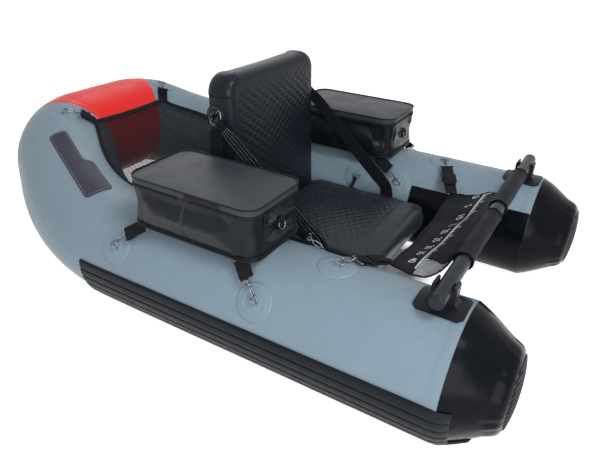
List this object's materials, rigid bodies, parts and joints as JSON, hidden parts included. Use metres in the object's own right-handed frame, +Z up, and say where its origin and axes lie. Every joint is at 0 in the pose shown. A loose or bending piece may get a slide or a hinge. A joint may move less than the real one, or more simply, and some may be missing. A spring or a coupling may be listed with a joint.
{
  "type": "float tube",
  "caption": "Horseshoe-shaped inflatable float tube for one seated angler, with a folding padded seat, zipped side bags, a mesh deck and a cross bar with a lap apron.",
  "frame": {"origin": "on the floor under the keel strips, midway along the boat and on its plane of symmetry", "axes": "+Y to the closed bow behind the seat, -Y to the open tube ends, +X to the seated angler's left, +Z up"},
  "size_m": [1.1772, 1.882, 0.6953],
  "materials": {
    "hull_grey": "satin PVC-coated fabric",
    "hull_red": "satin PVC-coated fabric",
    "hull_black": "glossy PVC-coated fabric",
    "strip_rubber": "ribbed rubber",
    "badge_grey": "bare welded patch",
    "seat_vinyl": "embossed vinyl",
    "webbing": "woven webbing",
    "mesh_cloth": "open mesh",
    "bag_cloth": "coated tarpaulin",
    "apron_cloth": "woven cloth",
    "moulded_black": "moulded plastic",
    "steel": "polished stainless wire",
    "bar_black": "black coated aluminium tube"
  },
  "bodies": {
    "hull": {"badge_patch": "badge_grey", "bow_panel": "hull_red", "left_apron_tether": "webbing", "left_bag_foot": "webbing", "left_bag_shell": "bag_cloth", "left_bag_zip": "moulded_black", "left_bar_saddle": "moulded_black", "left_chafe_panel": "hull_black", "left_front_inner_bag_clip": "steel", "left_front_outer_bag_clip": "steel", "left_front_strap": "webbing", "left_keel_strip": "strip_rubber", "left_mesh_clip": "steel", "left_nose_cone": "hull_black", "left_nose_pad": "strip_rubber", "left_pontoon": "hull_grey", "left_rear_inner_bag_clip": "steel", "left_rear_outer_bag_clip": "steel", "left_rear_strap": "webbing", "left_rub_strake": "strip_rubber", "left_seat_tether": "webbing", "mesh_hem": "webbing", "mesh_panel": "mesh_cloth", "right_apron_tether": "webbing", "right_bag_foot": "webbing", "right_bag_shell": "bag_cloth", "right_bag_zip": "moulded_black", "right_bar_saddle": "moulded_black", "right_chafe_panel": "hull_black", "right_front_inner_bag_clip": "steel", "right_front_outer_bag_clip": "steel", "right_front_strap": "webbing", "right_keel_strip": "strip_rubber", "right_mesh_clip": "steel", "right_nose_cone": "hull_black", "right_nose_pad": "strip_rubber", "right_pontoon": "hull_grey", "right_rear_inner_bag_clip": "steel", "right_rear_outer_bag_clip": "steel", "right_rear_strap": "webbing", "right_rub_strake": "strip_rubber", "right_seat_tether": "webbing", "seat_cushion": "seat_vinyl", "seat_sling": "webbing"},
    "seat_back": {"seat_back": "seat_vinyl", "left_seat_ring": "steel", "right_seat_ring": "steel"},
    "crossbar": {"crossbar": "bar_black", "left_apron_sleeve": "apron_cloth", "right_apron_sleeve": "apron_cloth", "apron": "apron_cloth"},
    "left_lid": {"left_bag_lid": "bag_cloth"},
    "left_outer_pull": {"left_outer_zip_pull": "moulded_black"},
    "left_inner_pull": {"left_inner_zip_pull": "moulded_black"},
    "left_ring": {"left_bag_ring": "steel"},
    "right_lid": {"right_bag_lid": "bag_cloth"},
    "right_outer_pull": {"right_outer_zip_pull": "moulded_black"},
    "right_inner_pull": {"right_inner_zip_pull": "moulded_black"},
    "right_ring": {"right_bag_ring": "steel"}
  },
  "joints": [
    {"name": "seat_back_fold", "type": "hinge", "parent": "hull", "child": "seat_back", "pos_m": [0, -0.049, 0.2781], "axis": [1, 0, 0], "range_deg": [0, 85], "deforming": ["left_front_strap", "left_rear_strap", "right_front_strap", "right_rear_strap"]},
    {"name": "crossbar_lift", "type": "slide", "parent": "hull", "child": "crossbar", "axis": [0, 0, 1], "range_m": [0, 0.06], "deforming": ["apron"]},
    {"name": "left_lid_hinge", "type": "hinge", "parent": "hull", "child": "left_lid", "pos_m": [0.524, -0.10325, 0.46996], "axis": [0, 1, 0], "range_deg": [0, 105]},
    {"name": "left_outer_pull_swing", "type": "hinge", "parent": "hull", "child": "left_outer_pull", "pos_m": [0.475, -0.30795, 0.46166], "axis": [-1, 0, 0], "range_deg": [0, 85]},
    {"name": "left_inner_pull_swing", "type": "hinge", "parent": "hull", "child": "left_inner_pull", "pos_m": [0.463, -0.30795, 0.46166], "axis": [-1, 0, 0], "range_deg": [0, 85]},
    {"name": "left_ring_swing", "type": "hinge", "parent": "hull", "child": "left_ring", "pos_m": [0.40785, -0.3117, 0.41796], "axis": [-1, 0, 0], "range_deg": [0, 70]},
    {"name": "right_lid_hinge", "type": "hinge", "parent": "hull", "child": "right_lid", "pos_m": [-0.524, -0.10325, 0.46996], "axis": [0, -1, 0], "range_deg": [0, 105]},
    {"name": "right_outer_pull_swing", "type": "hinge", "parent": "hull", "child": "right_outer_pull", "pos_m": [-0.475, -0.30795, 0.46166], "axis": [-1, 0, 0], "range_deg": [0, 85]},
    {"name": "right_inner_pull_swing", "type": "hinge", "parent": "hull", "child": "right_inner_pull", "pos_m": [-0.463, -0.30795, 0.46166], "axis": [-1, 0, 0], "range_deg": [0, 85]},
    {"name": "right_ring_swing", "type": "hinge", "parent": "hull", "child": "right_ring", "pos_m": [-0.40785, -0.3117, 0.41796], "axis": [-1, 0, 0], "range_deg": [0, 70]}
  ]
}
